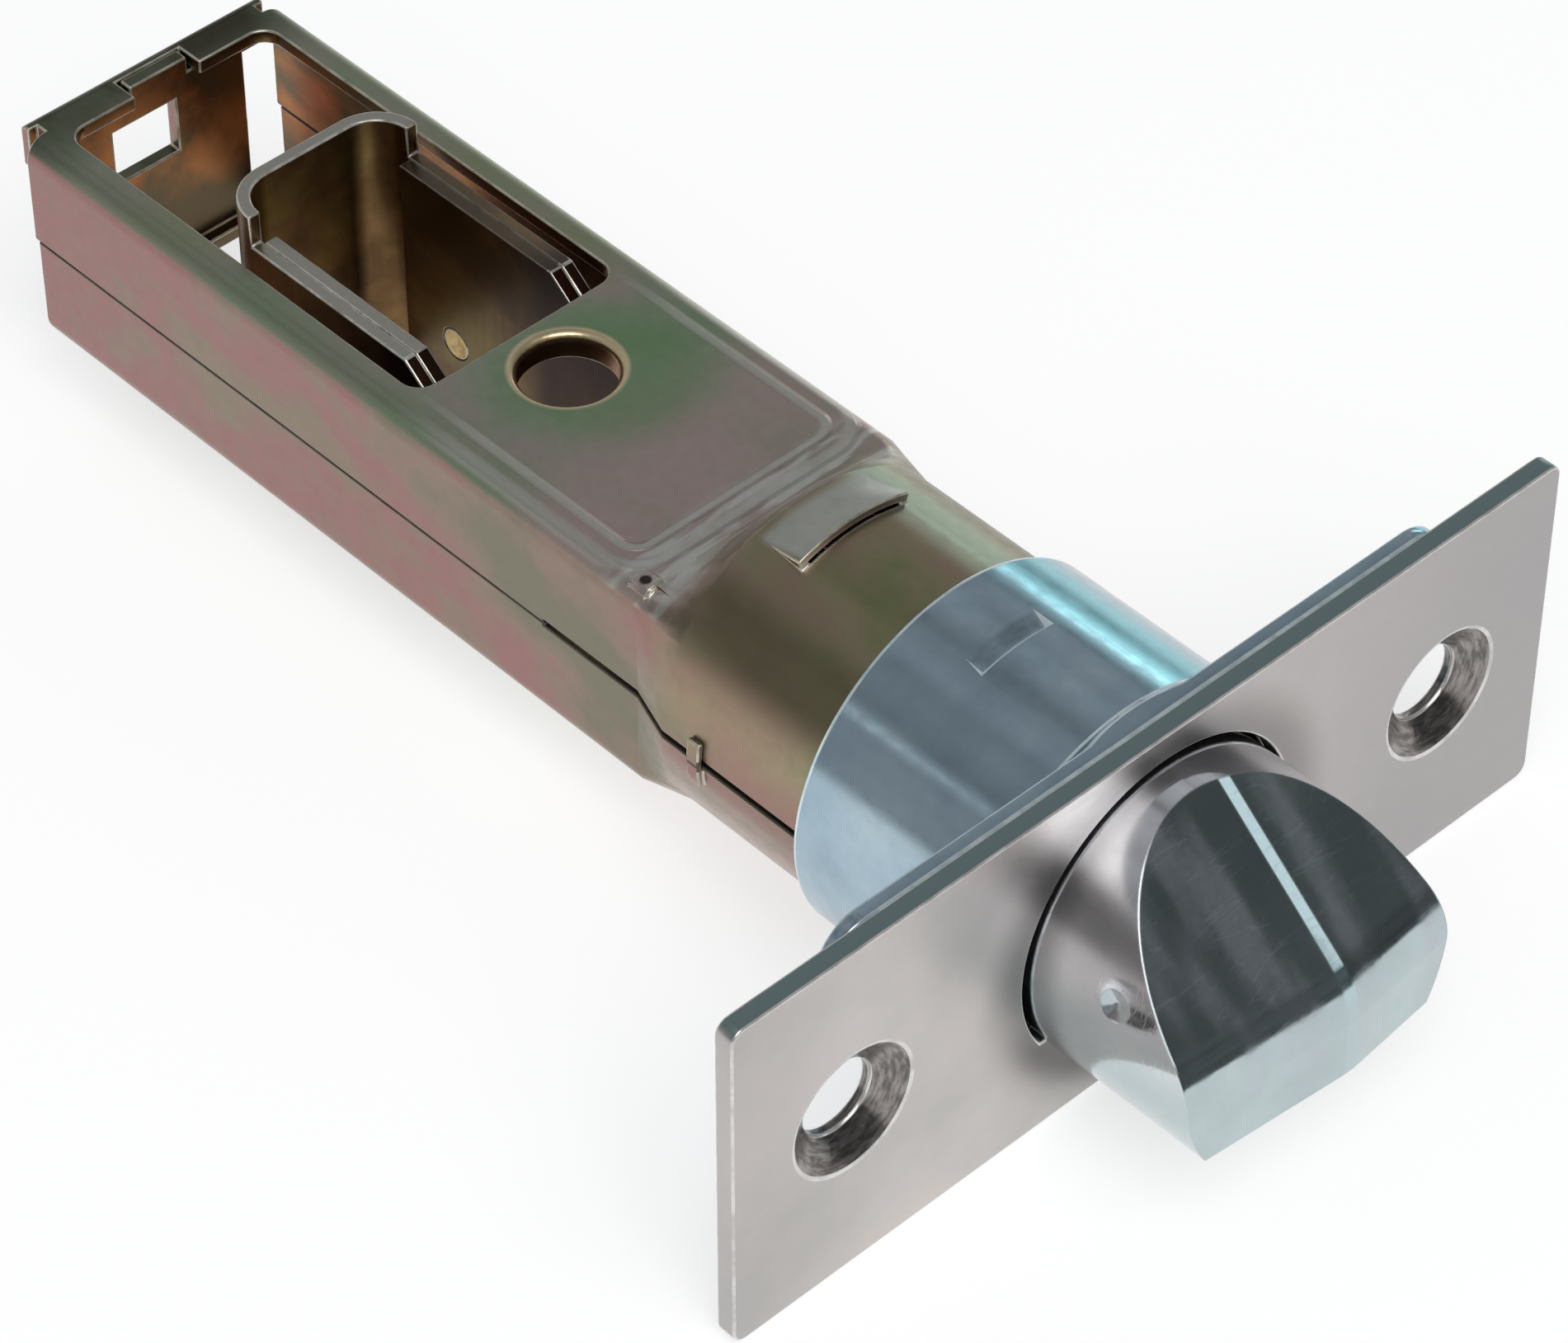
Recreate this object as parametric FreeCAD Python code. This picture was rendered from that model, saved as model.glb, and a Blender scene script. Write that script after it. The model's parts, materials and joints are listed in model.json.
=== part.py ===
import FreeCAD, Part
import math
import os

# Tubular door latch with a 60 mm backset, in millimetres.
# The origin is on the bolt axis, in the rear face of the faceplate, where the plate seats on the door edge.
# +X is the way the bolt springs out, +Z is up, and the case runs back along -X.

# Faceplate
FACE_LENGTH = 57.0
FACE_MARGIN = 0.15
FACE_THICK = 1.2
FACE_CORNER_R = 0.8
SCREW_PITCH = 41.3
SCREW_HOLE_R = 2.2
COUNTERSINK_R = 3.9
SEAT_DEPTH = 0.6
SEAT_WALL = 0.9

# Case shells, two pressed halves that meet on the mid plane
TUBE_R = 10.15
SHEET = 0.9
TUBE_LENGTH = 23.8
RAMP_LENGTH = 3.0
CASE_HALF_WIDTH = 9.1
CASE_HALF_HEIGHT = 6.85
CASE_BEND_R = 1.4
TIGHT_BEND_R = 0.3
CASE_LENGTH = 77.7
SEAM_GAP = 0.35
SEAM_OPEN_FROM = 34.0
SHELL_FIT = 0.1
SEAM_TAB_X = 21.2
SEAM_TAB_WIDTH = 0.9
SEAM_TAB_HALF_DEG = 8.0
SEAM_TAB_PROUD = 0.35
SHOULDER_X = 27.2
SHOULDER_Y = 8.0
SHOULDER_STUD = 1.3
SHOULDER_STUD_PROUD = 0.15

# Windows in the top and bottom of the case
OPENING_FRONT = 45.9
OPENING_HALF_WIDTH = 7.0
OPENING_CORNER_R = 1.2
REAR_RIM = 2.7
POST_X = 42.0
POST_HOLE_R = 2.75
POST_LIP_DEPTH = 0.8
POST_LIP_WALL = 0.6
POST_CHAMFER = 0.35

# Rear end of the case
REAR_LIP_DEPTH = 2.8
REAR_LIP_HALF_WIDTH = 8.3
REAR_LIP_BEND_R = 0.8
REAR_CORNER_R = 1.6
REAR_WALL_HALF_WIDTH = 5.9
SIDE_WALL_SETBACK = 1.6
REAR_TAB_HALF_WIDTH = 2.0
REAR_TAB_FIT = 0.25
REAR_WINDOW_WIDTH = 4.4
REAR_WINDOW_HEIGHT = 3.6
REAR_WINDOW_CENTRE_Y = -1.2
REAR_WINDOW_CENTRE_Z = 2.6

# Louvre in the top of the tube, and the spring stop plate that it holds
LOUVRE_FRONT = 20.4
LOUVRE_LENGTH = 2.6
LOUVRE_HALF_DEG = 21.0
LOUVRE_END_DEG = 3.0
LOUVRE_RISE = 0.65
LOUVRE_SHEET = 0.55
STOP_THICK = 0.9
STOP_FIT = 0.1
STOP_TAB_HALF_WIDTH = 1.8
STOP_TAB_SINK = 0.55

# Front collar, drawn in one piece with the backing plate
BACKING_LENGTH = 42.6
BACKING_THICK = 0.9
BACKING_CORNER_R = 2.5
BACKING_NOTCH_FIT = 0.4
COLLAR_WALL = 0.7
COLLAR_LENGTH = 13.6
COLLAR_FLARE = 0.6
COLLAR_RIM_CHAMFER = 0.25
STAKE_X = 8.4
STAKE_LENGTH = 1.3
STAKE_DEPTH = 0.3
STAKE_FROM_DEG = -16.0
STAKE_TO_DEG = 9.0

# Latch bolt
BOLT_FIT = 0.25
BOLT_FLAT = 4.6
BOLT_PROUD = 11.8
BOLT_TRAVEL = 11.0
BOLT_BEVEL_TOP = 2.2
BOLT_BEVEL_RUN = 8.0
BOLT_BEVEL_DROP = 6.9
BOLT_NOSE_DROP = 3.1
BOLT_NOSE_BULGE_X = 0.66
BOLT_NOSE_BULGE_Z = 0.4
BOLT_RIDGE_Y = 1.6
BOLT_RIDGE_WIDTH = 0.7
BOLT_FACET_DEG = 5.0
BOLT_HOLE_FIT = 0.3
BOLT_SHOULDER_GAP = 0.3
BOLT_REAR_ROOM = 0.5
BOLT_FLOOR = 1.5
DIMPLE_R = 0.95
DIMPLE_DEPTH = 0.3
DIMPLE_X = 5.4
DIMPLE_Z = 2.6

# Stem and spring
STEM_R = 2.0
STEM_SOCKET = 4.0
STEM_FIT = 0.02
STEM_SPIGOT_R = 1.6
STEM_HEAD_R = 2.8
STEM_HEAD_LENGTH = 1.0
STEM_PASS_FIT = 0.4
SPRING_R = 4.2
SPRING_WIRE_R = 0.5
SPRING_TURNS = 7
SPRING_STATIONS = 10
SPRING_WIRE_SIDES = 4
SPRING_POCKET_FIT = 0.5

# Drawbar and retractor yoke
DRAWBAR_SHEET = 0.8
DRAWBAR_GAP = 0.4
DRAWBAR_HALF_HEIGHT = 4.2
DRAWBAR_BEND_R = 1.3
DRAWBAR_REAR_FIT = 0.2
YOKE_SHEET = 0.8
YOKE_HALF_WIDTH = 5.9
YOKE_BACK = 63.7
YOKE_CORNER_R = 3.0
YOKE_FRONT_GAP = 0.4
YOKE_END_RUN = 1.9
YOKE_END_DROP = 1.5
YOKE_LEG_HALF_HEIGHT = 7.0
YOKE_BACK_HALF_HEIGHT = 9.0
RIVET_R = 1.0
RIVET_HEAD_R = 1.8
RIVET_HEAD_HEIGHT = 0.6
RIVET_INSET = 4.1
RIVET_Z = -3.2
RIVET_FIT = 0.02

# Places worked out from the sizes above
X_AXIS = FreeCAD.Vector(1, 0, 0)
Y_AXIS = FreeCAD.Vector(0, 1, 0)
Z_AXIS = FreeCAD.Vector(0, 0, 1)
REACH = 2.0 * CASE_LENGTH
OVERRUN = 1.0
TUBE_BORE_R = TUBE_R - SHEET
BOLT_R = TUBE_BORE_R - BOLT_FIT
COLLAR_R = TUBE_R + COLLAR_WALL
FACE_WIDTH = 2.0 * (COLLAR_R + FACE_MARGIN)
RAMP_END = TUBE_LENGTH + RAMP_LENGTH
OPENING_BACK = CASE_LENGTH - REAR_RIM
REAR_WALL_BACK = CASE_LENGTH - SHEET - SHELL_FIT
SIDE_WALL_END = CASE_LENGTH - SIDE_WALL_SETBACK
PLATE_UNDER = CASE_HALF_HEIGHT - SHEET
STOP_FRONT = LOUVRE_FRONT + STOP_FIT
STOP_BACK = STOP_FRONT + STOP_THICK
BOLT_REAR = STOP_FRONT - BOLT_TRAVEL - BOLT_REAR_ROOM
WEB_FRONT = STOP_BACK + DRAWBAR_GAP
WEB_BACK = WEB_FRONT + DRAWBAR_SHEET
YOKE_FRONT = OPENING_FRONT + YOKE_FRONT_GAP
YOKE_INNER = YOKE_HALF_WIDTH - YOKE_SHEET
YOKE_BACK_END = YOKE_BACK - YOKE_CORNER_R
DRAWBAR_REAR = YOKE_BACK_END - DRAWBAR_REAR_FIT
NOSE_X = FACE_THICK + BOLT_PROUD
POCKET_R = SPRING_R + SPRING_WIRE_R + SPRING_POCKET_FIT


def vec(x, y, z):
    return FreeCAD.Vector(x, y, z)


def box(x_from, x_to, y_from, y_to, z_from, z_to):
    size = (x_to - x_from, y_to - y_from, z_to - z_from)
    return Part.makeBox(size[0], size[1], size[2], vec(x_from, y_from, z_from))


def rod(radius, x_from, x_to, y=0.0, z=0.0):
    return Part.makeCylinder(radius, x_to - x_from, vec(x_from, y, z), X_AXIS)


def rounded_outline(half_a, half_b, radius, place):
    """Closed outline of a rounded rectangle, with place(a, b) giving its points in space."""
    turn = radius * (1.0 - math.sqrt(0.5))
    edges = []
    for sign_a, sign_b in ((1, 1), (-1, 1), (-1, -1), (1, -1)):
        side_end = (sign_a * half_a, sign_b * (half_b - radius))
        corner = (sign_a * (half_a - turn), sign_b * (half_b - turn))
        top_end = (sign_a * (half_a - radius), sign_b * half_b)
        ends = [side_end, top_end] if sign_a * sign_b > 0 else [top_end, side_end]
        arc = Part.Arc(place(*ends[0]), place(*corner), place(*ends[1]))
        edges.append((ends, arc.toShape()))
    outline = []
    for index, (ends, arc) in enumerate(edges):
        following = edges[(index + 1) % len(edges)][0]
        outline.append(arc)
        outline.append(Part.makeLine(place(*ends[1]), place(*following[0])))
    return Part.Wire(outline)


def rounded_slab(half_y, half_z, radius, x_from, x_to):
    """Rounded rectangle across the bolt axis, from one x to another."""
    outline = rounded_outline(half_y, half_z, radius, lambda y, z: vec(x_from, y, z))
    return Part.Face(outline).extrude(vec(x_to - x_from, 0, 0))


def side_plate(points, half_width):
    """Outline in the X-Z plane, drawn out to both sides of the axis."""
    outline = [vec(x, -half_width, z) for x, z in points]
    face = Part.Face(Part.makePolygon(outline + [outline[0]]))
    return face.extrude(vec(0, 2.0 * half_width, 0))


def round_strip(points, from_deg, to_deg):
    """Half section in x and radius, swept round the bolt axis between two angles from the top."""
    corners = [vec(x, 0, r) for x, r in points]
    face = Part.Face(Part.makePolygon(corners + [corners[0]]))
    face.rotate(vec(0, 0, 0), X_AXIS, from_deg)
    return face.revolve(vec(0, 0, 0), X_AXIS, to_deg - from_deg)


def mirrored_down(shape):
    return shape.mirror(vec(0, 0, 0), Z_AXIS)


def mirrored_across(shape):
    return shape.mirror(vec(0, 0, 0), Y_AXIS)


def bolt_section(radius, flat, x_from, x_to):
    """Round bar with a flat along its underside."""
    keep = box(x_from, x_to, -radius - OVERRUN, radius + OVERRUN, -flat, radius + OVERRUN)
    return rod(radius, x_from, x_to).common(keep)


def make_faceplate():
    plate = rounded_slab(FACE_LENGTH / 2.0, FACE_WIDTH / 2.0, FACE_CORNER_R, 0.0, FACE_THICK)
    for side in (-1, 1):
        y = side * SCREW_PITCH / 2.0
        seat_r = SCREW_HOLE_R + SEAT_WALL
        seat = Part.makeCylinder(seat_r, SEAT_DEPTH + FACE_THICK / 2.0, vec(-SEAT_DEPTH, y, 0), X_AXIS)
        sink = Part.makeCone(SCREW_HOLE_R, COUNTERSINK_R, FACE_THICK, vec(0, y, 0), X_AXIS)
        hole = rod(SCREW_HOLE_R, -SEAT_DEPTH - OVERRUN, FACE_THICK, y)
        plate = plate.fuse(seat).cut(sink).cut(hole)
    hole_r = BOLT_R + BOLT_HOLE_FIT
    return plate.cut(bolt_section(hole_r, BOLT_FLAT + BOLT_HOLE_FIT, -OVERRUN, FACE_THICK + OVERRUN))


def collar_profile():
    """Half section of the drawn collar: its wall, the chamfered rear rim and the flare into the plate."""
    root = -BACKING_THICK
    rear = -COLLAR_LENGTH
    points = [vec(rear, 0, TUBE_R), vec(0, 0, TUBE_R), vec(0, 0, COLLAR_R + COLLAR_FLARE)]
    points += [vec(root, 0, COLLAR_R + COLLAR_FLARE), vec(root - COLLAR_FLARE, 0, COLLAR_R)]
    points += [vec(rear + COLLAR_RIM_CHAMFER, 0, COLLAR_R), vec(rear, 0, COLLAR_R - COLLAR_RIM_CHAMFER)]
    return Part.Face(Part.makePolygon(points + [points[0]]))


def collar_stake():
    """Wedge struck into the top of the collar, steep at its front, which holds the tube."""
    front = -STAKE_X
    rear = front - STAKE_LENGTH
    outside = COLLAR_R + OVERRUN
    points = [(front, outside), (front, COLLAR_R - STAKE_DEPTH), (rear, COLLAR_R), (rear, outside)]
    return round_strip(points, -STAKE_TO_DEG, -STAKE_FROM_DEG)


def make_front_collar():
    half_length = BACKING_LENGTH / 2.0
    half_width = FACE_WIDTH / 2.0
    plate = rounded_slab(half_length, half_width, BACKING_CORNER_R, -BACKING_THICK, 0.0)
    collar = collar_profile().revolve(vec(0, 0, 0), X_AXIS, 360)
    clip = box(-COLLAR_LENGTH, 0, -half_length, half_length, -half_width, half_width)
    collar = plate.fuse(collar.common(clip))
    collar = collar.cut(rod(TUBE_R, -COLLAR_LENGTH - OVERRUN, OVERRUN))
    notch_r = SCREW_HOLE_R + SEAT_WALL + BACKING_NOTCH_FIT
    for side in (-1, 1):
        y = side * SCREW_PITCH / 2.0
        collar = collar.cut(rod(notch_r, -BACKING_THICK - OVERRUN, OVERRUN, y))
        ends = sorted((y, side * (half_length + OVERRUN)))
        collar = collar.cut(box(-BACKING_THICK - OVERRUN, OVERRUN, ends[0], ends[1], -notch_r, notch_r))
    return collar.cut(collar_stake()).removeSplitter()


def case_section(inset, x):
    """Outline of the flat part of the case, set in from its outside."""
    half_width = CASE_HALF_WIDTH - inset
    half_height = CASE_HALF_HEIGHT - inset
    radius = max(CASE_BEND_R - inset, TIGHT_BEND_R)
    return rounded_outline(half_width, half_height, radius, lambda y, z: vec(x, y, z))


def tube_section(inset, x):
    """Circle split where the corners of the flat part lie, so that the ramp between them runs true."""
    radius = TUBE_R - inset
    corner_r = CASE_BEND_R
    side = math.atan2(CASE_HALF_HEIGHT - corner_r, CASE_HALF_WIDTH)
    top = math.atan2(CASE_HALF_HEIGHT, CASE_HALF_WIDTH - corner_r)
    turns = []
    for quarter in (0.0, math.pi):
        turns += [quarter + side, quarter + top, quarter + math.pi - top, quarter + math.pi - side]
    turns.append(turns[0] + 2.0 * math.pi)

    def point(angle):
        return vec(x, radius * math.cos(angle), radius * math.sin(angle))

    arcs = []
    for start, end in zip(turns, turns[1:]):
        arcs.append(Part.Arc(point(start), point((start + end) / 2.0), point(end)).toShape())
    return Part.Wire(arcs)


def case_envelope(inset, front, rear):
    """Solid outside of the case, or its inside when inset by the sheet: tube, ramp and flat part."""
    slope = math.atan2(TUBE_R - CASE_HALF_HEIGHT, RAMP_LENGTH)
    shift = inset * math.tan(slope / 2.0)
    tube_end = -TUBE_LENGTH + shift
    ramp_end = -RAMP_END + shift
    tube = rod(TUBE_R - inset, tube_end, front)
    ramp = Part.makeLoft([tube_section(inset, tube_end), case_section(inset, ramp_end)], True, True)
    flat = Part.Face(case_section(inset, ramp_end)).extrude(vec(rear - ramp_end, 0, 0))
    return tube.fuse(ramp).fuse(flat)


def half_case():
    """Upper half of the case sheet, open at both ends, up to the rear ends of its side walls."""
    outer = case_envelope(0.0, 0.0, -CASE_LENGTH)
    inner = case_envelope(SHEET, OVERRUN, -CASE_LENGTH - OVERRUN)
    above = box(-REACH, OVERRUN, -REACH, REACH, 0.0, REACH)
    seam = box(-SEAM_OPEN_FROM, OVERRUN, -REACH, REACH, 0.0, SEAM_GAP / 2.0)
    half = outer.cut(inner).common(above).cut(seam)
    wall = CASE_HALF_WIDTH - CASE_BEND_R
    for sign in (-1, 1):
        ends = sorted((sign * wall, sign * REACH))
        half = half.cut(box(-REACH, -SIDE_WALL_END, ends[0], ends[1], -REACH, REACH))
    return half


def case_window():
    """Tool that opens the flat of the case over the yoke's travel."""
    centre = -(OPENING_FRONT + OPENING_BACK) / 2.0
    half = (OPENING_BACK - OPENING_FRONT) / 2.0
    low = PLATE_UNDER - OVERRUN
    place = lambda x, y: vec(centre + x, y, low)
    outline = rounded_outline(half, OPENING_HALF_WIDTH, OPENING_CORNER_R, place)
    return Part.Face(outline).extrude(vec(0, 0, SHEET + 2.0 * OVERRUN))


def post_hole_profile():
    """Half section of the drawn lip round the post hole, with a chamfered mouth."""
    top = CASE_HALF_HEIGHT
    low = PLATE_UNDER - POST_LIP_DEPTH
    inside = POST_HOLE_R - POST_X
    outside = inside + POST_LIP_WALL
    points = [vec(inside, 0, low), vec(outside, 0, low), vec(outside, 0, top)]
    points += [vec(inside + POST_CHAMFER, 0, top), vec(inside, 0, top - POST_CHAMFER)]
    return Part.Face(Part.makePolygon(points + [points[0]]))


def with_windows(shell):
    """Cuts the yoke window and draws the post hole in the upper half of the case."""
    lip_r = POST_HOLE_R + POST_LIP_WALL
    low = PLATE_UNDER - POST_LIP_DEPTH
    bore = Part.makeCylinder(lip_r, 2.0 * CASE_HALF_HEIGHT, vec(-POST_X, 0, low), Z_AXIS)
    lip = post_hole_profile().revolve(vec(-POST_X, 0, 0), Z_AXIS, 360)
    return shell.cut(case_window()).cut(bore).fuse(lip)


def louvre():
    """Strap lifted out of the tube at its front edge, closed at both ends."""
    rear = -LOUVRE_FRONT - LOUVRE_LENGTH
    front = -LOUVRE_FRONT
    top = TUBE_R + LOUVRE_RISE
    strap = [(rear, TUBE_R - LOUVRE_SHEET), (rear, TUBE_R), (front, top), (front, top - LOUVRE_SHEET)]
    end = [(rear, TUBE_R - LOUVRE_SHEET), (front, top - LOUVRE_SHEET / 2.0), (front, TUBE_R - LOUVRE_SHEET)]
    shape = round_strip(strap, -LOUVRE_HALF_DEG, LOUVRE_HALF_DEG)
    shape = shape.fuse(round_strip(end, -LOUVRE_HALF_DEG, -LOUVRE_HALF_DEG + LOUVRE_END_DEG))
    return shape.fuse(round_strip(end, LOUVRE_HALF_DEG - LOUVRE_END_DEG, LOUVRE_HALF_DEG))


def louvre_slot():
    """Slit through the tube under the louvre."""
    rear = -LOUVRE_FRONT - LOUVRE_LENGTH
    front = -LOUVRE_FRONT
    outside = TUBE_R + OVERRUN
    inside = TUBE_BORE_R - OVERRUN
    points = [(rear, inside), (rear, outside), (front, outside), (front, inside)]
    reach = LOUVRE_HALF_DEG - LOUVRE_END_DEG
    return round_strip(points, -reach, reach)


def shoulder_stud():
    """Small square stud struck up at the left shoulder of the case, inside the round of the door bore."""
    half = SHOULDER_STUD / 2.0
    top = CASE_HALF_HEIGHT + SHOULDER_STUD_PROUD
    stud = box(-half, half, -half, half, PLATE_UNDER, top)
    stud.translate(vec(-SHOULDER_X, -SHOULDER_Y, 0))
    bore = rod(COLLAR_R, -SHOULDER_X - SHOULDER_STUD, -SHOULDER_X + SHOULDER_STUD)
    return stud.common(bore)


def make_upper_case_shell():
    shell = with_windows(half_case()).cut(louvre_slot()).fuse(louvre()).fuse(shoulder_stud())
    lip = box(-CASE_LENGTH, -CASE_LENGTH + SHEET, -REAR_LIP_HALF_WIDTH, REAR_LIP_HALF_WIDTH,
              CASE_HALF_HEIGHT - REAR_LIP_DEPTH, CASE_HALF_HEIGHT)
    corner = [edge for edge in lip.Edges if is_rear_top(edge)]
    lip = lip.makeFillet(REAR_LIP_BEND_R, corner)
    place = lambda x, y: vec(x, y, 0.0)
    plan = Part.Face(rounded_outline(CASE_LENGTH, CASE_HALF_WIDTH, REAR_CORNER_R, place))
    lip = lip.common(plan.extrude(vec(0, 0, REACH)))
    shell = shell.cut(box(-REACH, -CASE_LENGTH + SHEET, -REACH, REACH, -REACH, REACH)).fuse(lip)
    notch = REAR_TAB_HALF_WIDTH + REAR_TAB_FIT
    notch_back = -REAR_WALL_BACK - SHELL_FIT
    return shell.cut(box(notch_back, -OPENING_BACK + OVERRUN, -notch, notch, 0, REACH)).removeSplitter()


def is_rear_top(edge):
    centre = edge.CenterOfMass
    return abs(centre.x + CASE_LENGTH) < 1e-6 and abs(centre.z - CASE_HALF_HEIGHT) < 1e-6


def seam_tab(side_deg):
    """Tab of the lower shell that hooks up over the seam, on the side at that angle from the top."""
    rear = -SEAM_TAB_X - SEAM_TAB_WIDTH / 2.0
    front = rear + SEAM_TAB_WIDTH
    outside = TUBE_R + SEAM_TAB_PROUD
    points = [(rear, TUBE_R), (rear, outside), (front, outside), (front, TUBE_R)]
    return round_strip(points, side_deg - SEAM_TAB_HALF_DEG, side_deg + SEAM_TAB_HALF_DEG)


def make_lower_case_shell():
    shell = mirrored_down(with_windows(half_case()))
    for side_deg in (-90.0, 90.0):
        shell = shell.fuse(seam_tab(side_deg))
    shell = shell.cut(box(-REACH, -REAR_WALL_BACK + SHEET, -REACH, REACH, -REACH, REACH))
    floor = -CASE_HALF_HEIGHT
    back = -REAR_WALL_BACK
    front = back + SHEET
    under = PLATE_UNDER - SHELL_FIT
    rim = box(back, -OPENING_BACK, -REAR_WALL_HALF_WIDTH, REAR_WALL_HALF_WIDTH, floor, floor + SHEET)
    wall = box(back, front, -REAR_WALL_HALF_WIDTH, REAR_WALL_HALF_WIDTH, floor, under)
    tab = box(back, front, -REAR_TAB_HALF_WIDTH, REAR_TAB_HALF_WIDTH, under, CASE_HALF_HEIGHT)
    half_y = REAR_WINDOW_WIDTH / 2.0
    half_z = REAR_WINDOW_HEIGHT / 2.0
    window = box(back - OVERRUN, front + OVERRUN, -half_y, half_y, -half_z, half_z)
    window.translate(vec(0, REAR_WINDOW_CENTRE_Y, REAR_WINDOW_CENTRE_Z))
    return shell.fuse(rim).fuse(wall).fuse(tab).cut(window).removeSplitter()


def make_spring_stop_plate():
    plate = rod(TUBE_BORE_R - STOP_FIT, -STOP_BACK, -STOP_FRONT)
    tab = box(-STOP_BACK, -STOP_FRONT, -STOP_TAB_HALF_WIDTH, STOP_TAB_HALF_WIDTH, 0, TUBE_R - STOP_TAB_SINK)
    hole = rod(STEM_R + STEM_PASS_FIT, -STOP_BACK - OVERRUN, -STOP_FRONT + OVERRUN)
    return plate.fuse(tab).cut(hole).removeSplitter()


def bolt_nose():
    """Bevelled striking face: two facets that fall away from a narrow flat ridge."""
    low = -BOLT_R - OVERRUN
    top_x = FACE_THICK + BOLT_BEVEL_TOP
    bevel_end = vec(top_x + BOLT_BEVEL_RUN, BOLT_RIDGE_Y, BOLT_R - BOLT_BEVEL_DROP)
    over_x = top_x - BOLT_BEVEL_RUN * OVERRUN / BOLT_BEVEL_DROP
    bevel_start = vec(over_x, BOLT_RIDGE_Y, BOLT_R + OVERRUN)
    nose = vec(NOSE_X, BOLT_RIDGE_Y, bevel_end.z - BOLT_NOSE_DROP)
    middle_x = bevel_end.x + (nose.x - bevel_end.x) * BOLT_NOSE_BULGE_X
    middle = vec(middle_x, BOLT_RIDGE_Y, bevel_end.z - BOLT_NOSE_DROP * BOLT_NOSE_BULGE_Z)
    start = [vec(-REACH, BOLT_RIDGE_Y, low), vec(-REACH, BOLT_RIDGE_Y, BOLT_R + OVERRUN)]
    start += [bevel_start, bevel_end]
    edges = [Part.makeLine(a, b) for a, b in zip(start, start[1:])]
    edges.append(Part.Arc(bevel_end, middle, nose).toShape())
    foot = vec(NOSE_X, BOLT_RIDGE_Y, low)
    edges += [Part.makeLine(nose, foot), Part.makeLine(foot, start[0])]
    face = Part.Face(Part.Wire(edges))
    width = 2.0 * BOLT_R
    lean = -width * math.tan(math.radians(BOLT_FACET_DEG))
    half_ridge = BOLT_RIDGE_WIDTH / 2.0
    face.translate(vec(0, -half_ridge, 0))
    right = face.translated(vec(0, BOLT_RIDGE_WIDTH, 0)).extrude(vec(lean, width, 0))
    ridge = face.extrude(vec(0, BOLT_RIDGE_WIDTH, 0))
    return face.extrude(vec(lean, -width, 0)).fuse(ridge).fuse(right)


def make_latch_bolt():
    tongue = bolt_section(BOLT_R, BOLT_FLAT, -BOLT_REAR, NOSE_X + OVERRUN).common(bolt_nose())
    body = rod(BOLT_R, -BOLT_REAR, -BOLT_SHOULDER_GAP)
    bolt = tongue.fuse(body)
    bolt = bolt.cut(rod(POCKET_R, -BOLT_REAR - OVERRUN, -BOLT_FLOOR))
    bolt = bolt.cut(rod(STEM_R + STEM_FIT, -BOLT_FLOOR - OVERRUN, -BOLT_FLOOR + STEM_SOCKET))
    side = -math.sqrt(BOLT_R ** 2 - DIMPLE_Z ** 2)
    sunk = 1.0 - DIMPLE_DEPTH / BOLT_R
    tip = vec(FACE_THICK + DIMPLE_X, side * sunk, DIMPLE_Z * sunk)
    dent = Part.makeCone(0.0, 2.0 * DIMPLE_R, 2.0 * DIMPLE_DEPTH, tip, vec(0, side, DIMPLE_Z))
    return bolt.cut(dent).removeSplitter()


def make_bolt_stem():
    stem = rod(STEM_R, -WEB_FRONT, -BOLT_FLOOR + STEM_SOCKET)
    spigot = rod(STEM_SPIGOT_R, -WEB_BACK, -WEB_FRONT)
    head = rod(STEM_HEAD_R, -WEB_BACK - STEM_HEAD_LENGTH, -WEB_BACK)
    return stem.fuse(spigot).fuse(head).removeSplitter()


def make_bolt_spring():
    """Coil at its fitted length, lofted through a section of the wire at each station round the axis."""
    front = BOLT_FLOOR + SPRING_WIRE_R
    length = STOP_FRONT - BOLT_FLOOR - 2.0 * SPRING_WIRE_R
    sections = []
    for station in range(SPRING_TURNS * SPRING_STATIONS + 1):
        turn = 2.0 * math.pi * station / SPRING_STATIONS
        x = -front - length * station / (SPRING_TURNS * SPRING_STATIONS)
        corners = []
        for side in range(SPRING_WIRE_SIDES):
            angle = 2.0 * math.pi * side / SPRING_WIRE_SIDES
            along = x + SPRING_WIRE_R * math.cos(angle)
            reach = SPRING_R + SPRING_WIRE_R * math.sin(angle)
            corners.append(vec(along, reach * math.sin(turn), reach * math.cos(turn)))
        sections.append(Part.makePolygon(corners + [corners[0]]))
    return Part.makeLoft(sections, True, True)


def u_strap(mouth, back, half_width, sheet, corner_r, half_height):
    """Strap bent to a U in plan: mouth and back are the x of its ends and of the outside of its bend."""
    reach = abs(mouth - back)
    centre = (back + mouth) / 2.0
    place = lambda x, y: vec(mouth + x, y, -half_height)
    outer = rounded_outline(reach, half_width, corner_r, place)
    inner_r = max(corner_r - sheet, TIGHT_BEND_R)
    inner = rounded_outline(reach - sheet, half_width - sheet, inner_r, place)
    strap = Part.Face(outer).extrude(vec(0, 0, 2.0 * half_height))
    strap = strap.cut(Part.Face(inner).extrude(vec(0, 0, 2.0 * half_height)))
    half = reach / 2.0
    keep = box(-half, half, -half_width, half_width, -half_height, half_height)
    keep.translate(vec(centre, 0, 0))
    return strap.common(keep)


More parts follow.
